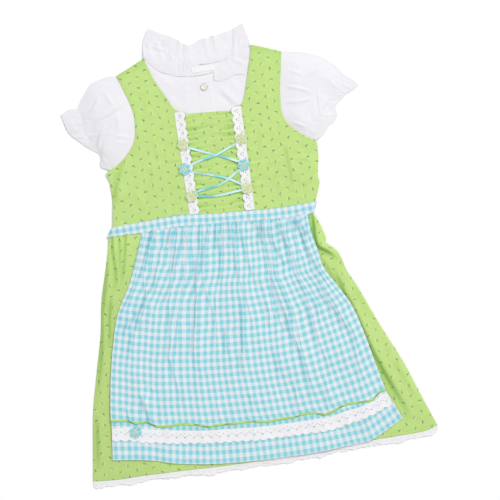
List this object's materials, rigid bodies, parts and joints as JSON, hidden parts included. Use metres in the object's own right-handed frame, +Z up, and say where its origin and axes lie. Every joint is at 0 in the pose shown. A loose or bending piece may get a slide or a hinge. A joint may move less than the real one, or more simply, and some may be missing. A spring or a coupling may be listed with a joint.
{
  "type": "dirndl dress with apron and blouse",
  "caption": "Child's sleeveless dirndl dress with laced bodice, gathered gingham apron and puff-sleeved frill-collar blouse, laid flat front up.",
  "frame": {"origin": "centre of the set's outline, on the surface it lies on", "axes": "+X towards the right-hand side as seen from above, +Y from the hem to the neck along the dress, +Z up out of the surface"},
  "size_m": [0.5228, 0.6764, 0.0102],
  "materials": {
    "dress_cotton": "lime green cotton with a small leaf sprig print",
    "blouse_cotton": "thin white cotton",
    "apron_gingham": "turquoise and white gingham, 5 mm check",
    "lace": "white cotton eyelet lace",
    "ribbon_satin": "aqua satin ribbon",
    "crochet_aqua": "aqua crochet thread",
    "crochet_green": "pale green crochet thread",
    "piping_green": "bright green corded piping",
    "button_pearl": "pearl white with a beige rim",
    "label_white": "bare white woven label"
  },
  "bodies": {
    "root": {"bodice_back": "dress_cotton", "bodice_front_left": "dress_cotton", "bodice_front_right": "dress_cotton", "bodice_centre": "dress_cotton", "skirt_back": "dress_cotton", "skirt_front": "dress_cotton", "blouse_back": "blouse_cotton", "blouse_front": "blouse_cotton", "blouse_placket": "blouse_cotton", "sleeve_left": "blouse_cotton", "sleeve_right": "blouse_cotton", "collar_back": "blouse_cotton", "collar_front_left": "blouse_cotton", "collar_front_right": "blouse_cotton", "apron_panel": "apron_gingham", "apron_hem_band": "apron_gingham", "apron_waistband": "apron_gingham", "lace_left": "lace", "lace_right": "lace", "apron_lace": "lace", "hem_lace_front": "lace", "hem_lace_back": "lace", "ribbon_1_down": "ribbon_satin", "ribbon_1_up": "ribbon_satin", "ribbon_2_down": "ribbon_satin", "ribbon_2_up": "ribbon_satin", "ribbon_3_across": "ribbon_satin", "flower_left_middle": "crochet_aqua", "flower_right_middle": "crochet_aqua", "flower_apron": "crochet_aqua", "flower_left_top": "crochet_green", "flower_left_bottom": "crochet_green", "flower_right_top": "crochet_green", "flower_right_bottom": "crochet_green", "apron_piping": "piping_green", "button": "button_pearl", "neck_label": "label_white"}
  },
  "joints": []
}
